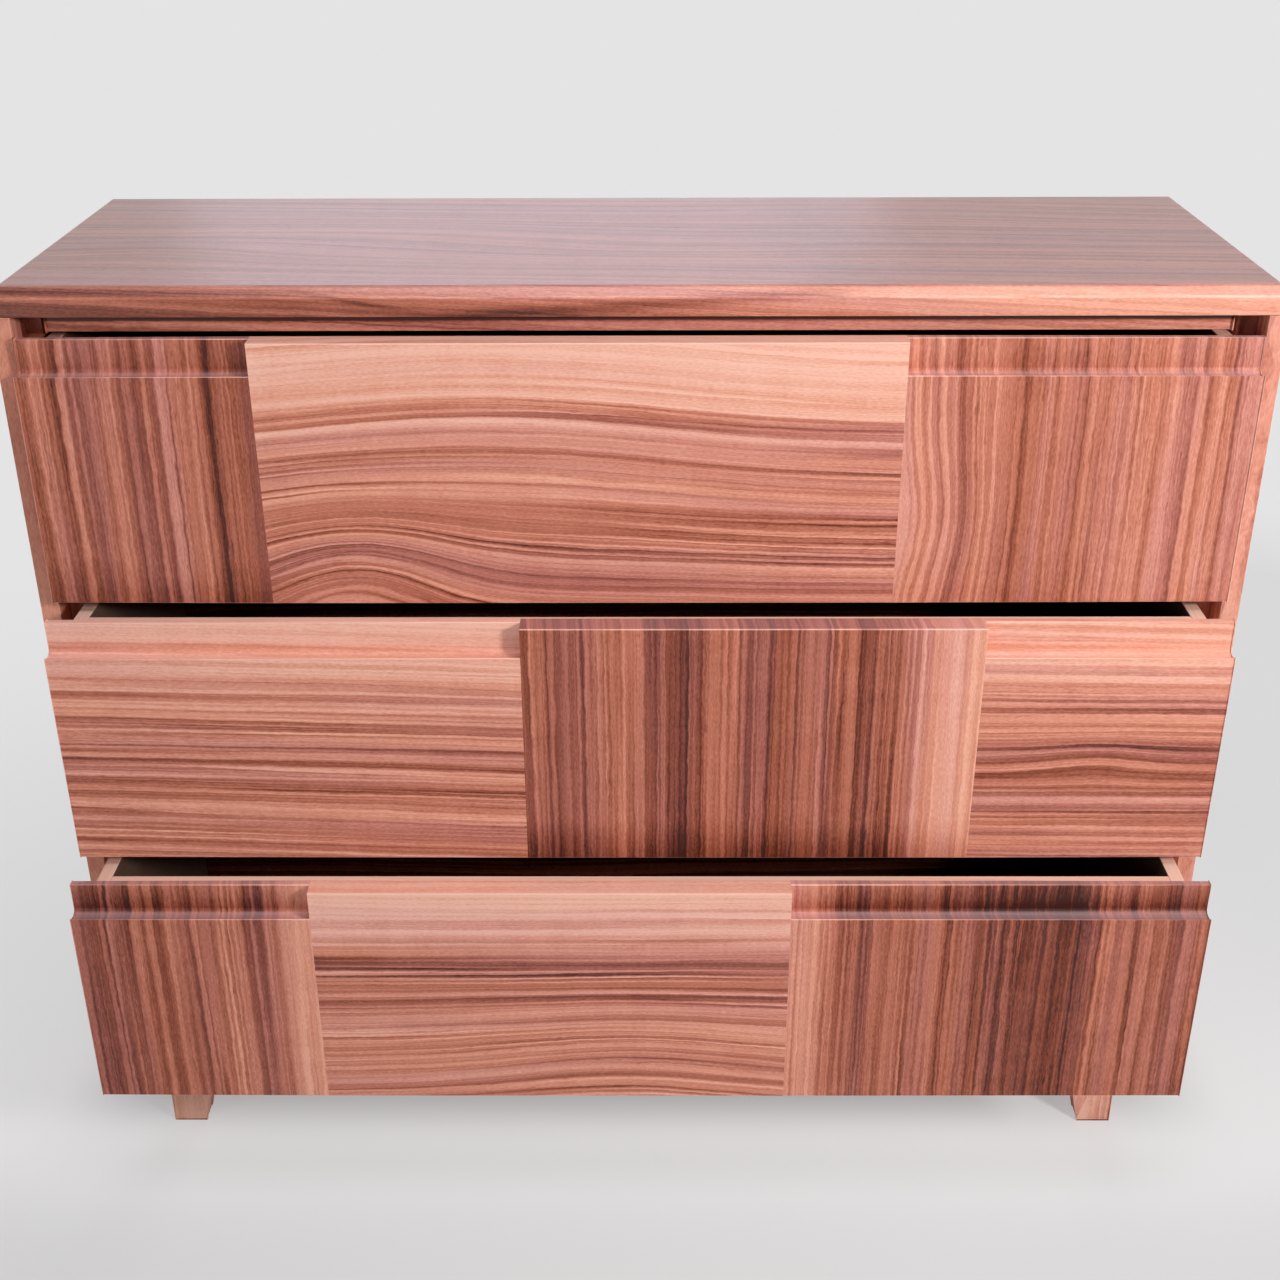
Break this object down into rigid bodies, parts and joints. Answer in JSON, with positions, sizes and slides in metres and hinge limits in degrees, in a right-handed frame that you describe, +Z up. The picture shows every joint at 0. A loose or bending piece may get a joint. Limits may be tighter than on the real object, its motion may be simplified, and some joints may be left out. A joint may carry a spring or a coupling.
{
  "type": "chest of drawers",
  "caption": "Low hardwood dresser with inset drawers; finger pulls are cut along the top of the outer front boards, the top is bevelled and the feet taper.",
  "frame": {"origin": "on the floor, in the middle of the width, halfway between the back and the face of the bottom drawer at rest", "axes": "+Z up, -Y out of the front, +X to the right of someone facing the front"},
  "size_m": [1.22, 0.517, 1.045],
  "materials": {
    "case_wood": "satin lacquered striped hardwood",
    "front_wood": "satin lacquered striped hardwood",
    "inner_wood": "satin hardwood, inside of the case",
    "pale_wood": "clear lacquered pale hardwood",
    "steel_runner": "zinc plated sheet",
    "steel_screw": "zinc plated"
  },
  "bodies": {
    "carcass": {"back_panel": "inner_wood", "bottom_panel": "inner_wood", "foot_back_left": "case_wood", "foot_back_right": "case_wood", "foot_front_left": "case_wood", "foot_front_right": "case_wood", "liner_left": "inner_wood", "liner_right": "inner_wood", "runner_1_outer_left": "steel_runner", "runner_1_outer_right": "steel_runner", "runner_2_outer_left": "steel_runner", "runner_2_outer_right": "steel_runner", "runner_3_outer_left": "steel_runner", "runner_3_outer_right": "steel_runner", "runner_screws": "steel_screw", "side_panel_left": "case_wood", "side_panel_right": "case_wood", "top_panel": "case_wood", "top_rail": "inner_wood"},
    "drawer_1": {"drawer_1_box_back": "pale_wood", "drawer_1_box_floor": "pale_wood", "drawer_1_box_front": "pale_wood", "drawer_1_box_left": "pale_wood", "drawer_1_box_right": "pale_wood", "drawer_1_front_center": "front_wood", "drawer_1_front_left": "front_wood", "drawer_1_front_right": "front_wood", "drawer_1_front_screws": "steel_screw", "runner_1_inner_left": "steel_runner", "runner_1_inner_right": "steel_runner"},
    "runner_1_middle_left": {"runner_1_middle_left": "steel_runner"},
    "runner_1_middle_right": {"runner_1_middle_right": "steel_runner"},
    "drawer_2": {"drawer_2_box_back": "pale_wood", "drawer_2_box_floor": "pale_wood", "drawer_2_box_front": "pale_wood", "drawer_2_box_left": "pale_wood", "drawer_2_box_right": "pale_wood", "drawer_2_front_center_a": "front_wood", "drawer_2_front_center_b": "front_wood", "drawer_2_front_left": "front_wood", "drawer_2_front_right": "front_wood", "drawer_2_front_screws": "steel_screw", "runner_2_inner_left": "steel_runner", "runner_2_inner_right": "steel_runner"},
    "runner_2_middle_left": {"runner_2_middle_left": "steel_runner"},
    "runner_2_middle_right": {"runner_2_middle_right": "steel_runner"},
    "drawer_3": {"drawer_3_box_back": "pale_wood", "drawer_3_box_floor": "pale_wood", "drawer_3_box_front": "pale_wood", "drawer_3_box_left": "pale_wood", "drawer_3_box_right": "pale_wood", "drawer_3_front_center": "front_wood", "drawer_3_front_left": "front_wood", "drawer_3_front_right": "front_wood", "drawer_3_front_screws": "steel_screw", "runner_3_inner_left": "steel_runner", "runner_3_inner_right": "steel_runner"},
    "runner_3_middle_left": {"runner_3_middle_left": "steel_runner"},
    "runner_3_middle_right": {"runner_3_middle_right": "steel_runner"}
  },
  "joints": [
    {"name": "drawer_1_slide", "type": "slide", "parent": "carcass", "child": "drawer_1", "axis": [0, -1, 0], "range_m": [-0.022, 0.288]},
    {"name": "runner_1_left_slide", "type": "slide", "parent": "carcass", "child": "runner_1_middle_left", "axis": [0, -1, 0], "range_m": [-0.011, 0.144]},
    {"name": "runner_1_right_slide", "type": "slide", "parent": "carcass", "child": "runner_1_middle_right", "axis": [0, -1, 0], "range_m": [-0.011, 0.144]},
    {"name": "drawer_2_slide", "type": "slide", "parent": "carcass", "child": "drawer_2", "axis": [0, -1, 0], "range_m": [-0.069, 0.241]},
    {"name": "runner_2_left_slide", "type": "slide", "parent": "carcass", "child": "runner_2_middle_left", "axis": [0, -1, 0], "range_m": [-0.0345, 0.1205]},
    {"name": "runner_2_right_slide", "type": "slide", "parent": "carcass", "child": "runner_2_middle_right", "axis": [0, -1, 0], "range_m": [-0.0345, 0.1205]},
    {"name": "drawer_3_slide", "type": "slide", "parent": "carcass", "child": "drawer_3", "axis": [0, -1, 0], "range_m": [-0.125, 0.185]},
    {"name": "runner_3_left_slide", "type": "slide", "parent": "carcass", "child": "runner_3_middle_left", "axis": [0, -1, 0], "range_m": [-0.0625, 0.0925]},
    {"name": "runner_3_right_slide", "type": "slide", "parent": "carcass", "child": "runner_3_middle_right", "axis": [0, -1, 0], "range_m": [-0.0625, 0.0925]}
  ],
  "couplings": [
    {"joint": "runner_1_left_slide", "follows": "drawer_1_slide", "ratio": 0.5},
    {"joint": "runner_1_right_slide", "follows": "drawer_1_slide", "ratio": 0.5},
    {"joint": "runner_2_left_slide", "follows": "drawer_2_slide", "ratio": 0.5},
    {"joint": "runner_2_right_slide", "follows": "drawer_2_slide", "ratio": 0.5},
    {"joint": "runner_3_left_slide", "follows": "drawer_3_slide", "ratio": 0.5},
    {"joint": "runner_3_right_slide", "follows": "drawer_3_slide", "ratio": 0.5}
  ]
}
